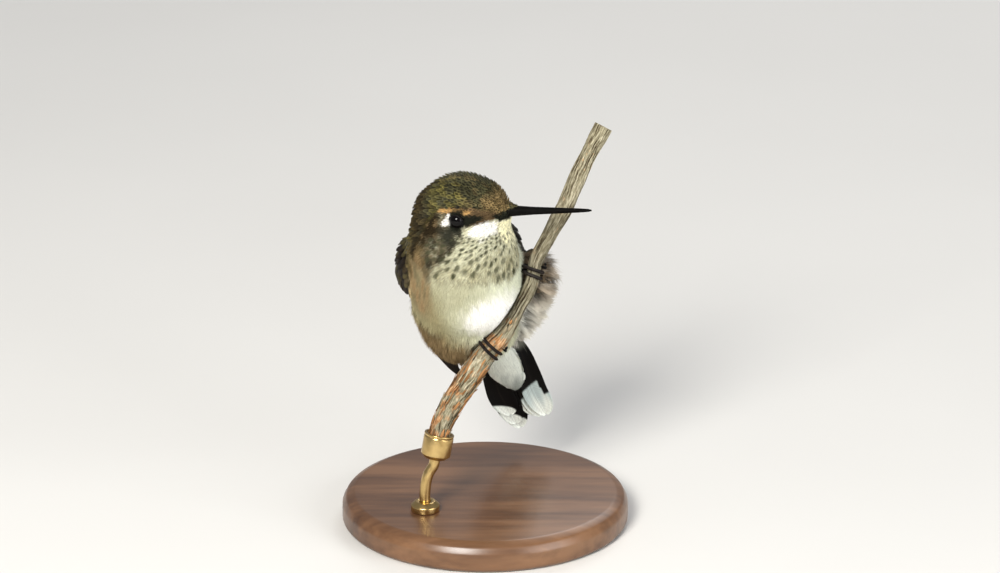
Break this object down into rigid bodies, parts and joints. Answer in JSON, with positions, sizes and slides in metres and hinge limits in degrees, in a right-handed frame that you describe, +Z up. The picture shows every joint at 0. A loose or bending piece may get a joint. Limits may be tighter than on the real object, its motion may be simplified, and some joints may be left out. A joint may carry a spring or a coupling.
{
  "type": "hummingbird",
  "caption": "Perched hummingbird at life size, with a spotted throat and a long straight bill, gripping a short cut twig on a display stand.",
  "frame": {"origin": "centre of the stand base's underside, on the surface it stands on", "axes": "+Z up; the bird's breast faces -Y; +X is the bird's left side, towards which its bill points"},
  "size_m": [0.058, 0.058, 0.0832],
  "materials": {
    "crown_plumage": "matte",
    "breast_plumage": "matte",
    "flight_feathers": "satin",
    "undertail_plumage": "matte",
    "bill_horn": "satin",
    "claw_horn": "satin",
    "eye_dark": "high gloss",
    "foot_skin": "satin",
    "twig_bark": "weathered matte",
    "stand_wood": "satin lacquer",
    "stand_brass": "satin"
  },
  "bodies": {
    "root": {"head": "crown_plumage", "neck": "crown_plumage", "trunk": "breast_plumage", "leg_left_thigh": "breast_plumage", "leg_right_thigh": "breast_plumage", "wing_left_arm": "flight_feathers", "wing_left_primaries": "flight_feathers", "wing_right_arm": "flight_feathers", "wing_right_primaries": "flight_feathers", "tail": "flight_feathers", "undertail_coverts": "undertail_plumage", "bill_upper": "bill_horn", "bill_lower": "bill_horn", "claw_left_inner": "claw_horn", "claw_left_middle": "claw_horn", "claw_left_outer": "claw_horn", "claw_left_hind": "claw_horn", "claw_right_inner": "claw_horn", "claw_right_middle": "claw_horn", "claw_right_outer": "claw_horn", "claw_right_hind": "claw_horn", "eye_left": "eye_dark", "eye_right": "eye_dark", "leg_left_foot": "foot_skin", "leg_right_foot": "foot_skin", "perch_twig": "twig_bark", "stand_base": "stand_wood", "stand_ferrule": "stand_brass", "stand_rod": "stand_brass", "stand_collar": "stand_brass"}
  },
  "joints": []
}
